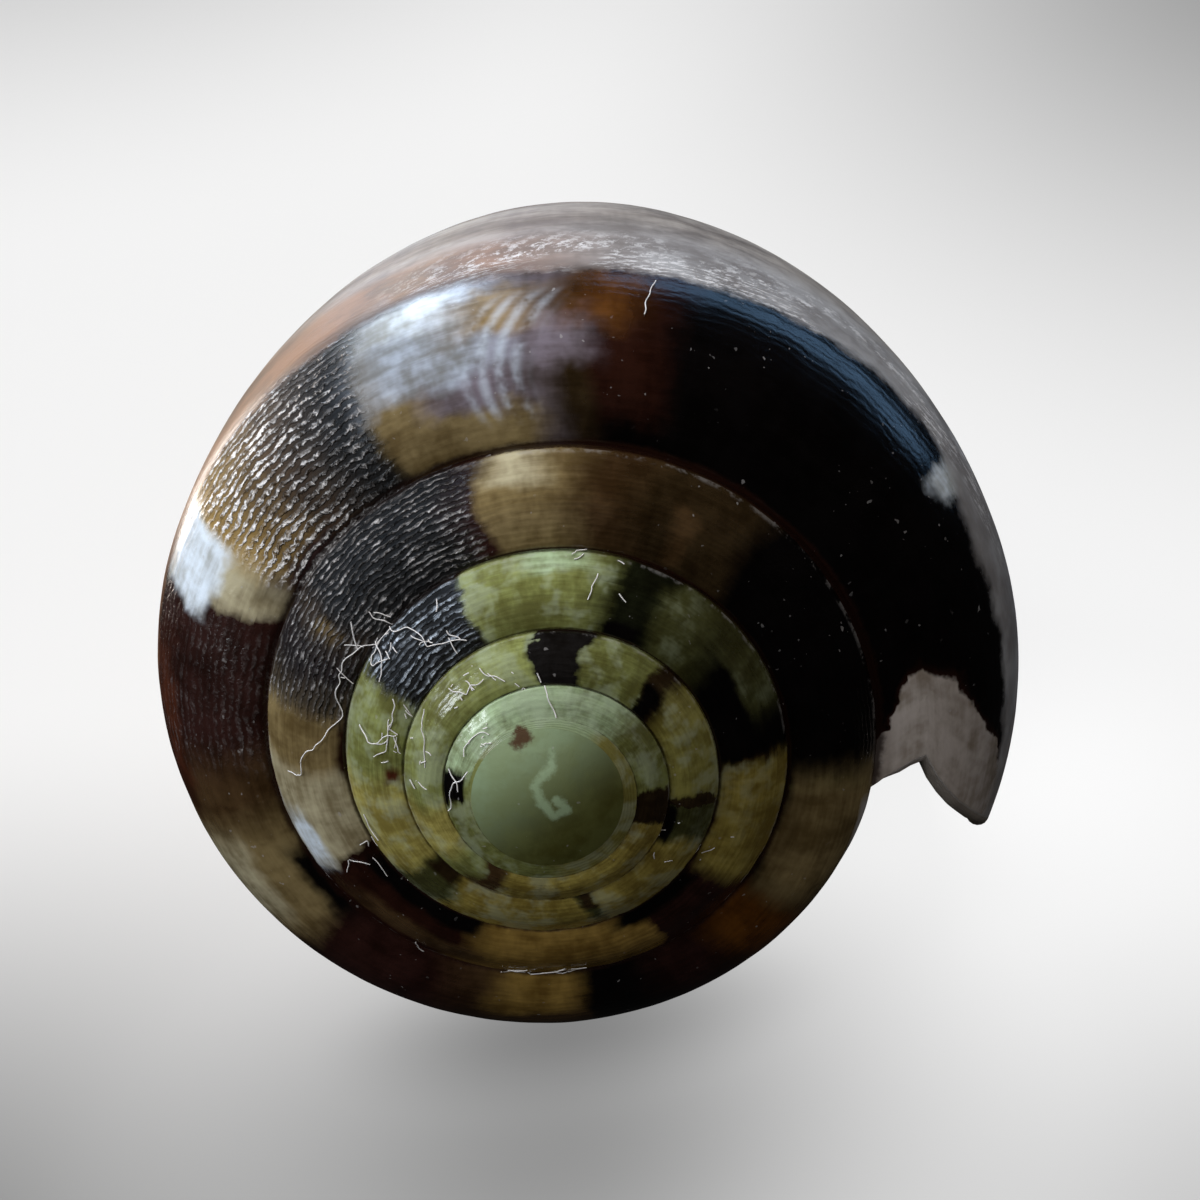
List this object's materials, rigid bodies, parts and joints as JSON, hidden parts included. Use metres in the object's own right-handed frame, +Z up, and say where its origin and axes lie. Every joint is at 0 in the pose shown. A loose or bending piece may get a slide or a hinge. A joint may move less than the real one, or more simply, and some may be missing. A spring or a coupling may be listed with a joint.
{
  "type": "cone shell",
  "caption": "Coiled cone-shaped sea shell with a low stepped spire, a rounded shoulder and a long narrow aperture, lying on its side.",
  "frame": {"origin": "bottom centre of the bounding box, on the surface that the shell lies on", "axes": "+Z up, the spire's apex towards -Y and raised 11.6 degrees, the front end towards +Y, the lip at +X"},
  "size_m": [0.029, 0.0508, 0.0265],
  "materials": {
    "shell": "natural shell: dark brown with cream and olive blotches, semi-gloss, worn matt down the side"
  },
  "bodies": {
    "root": {"cone_shell": "shell"}
  },
  "joints": []
}
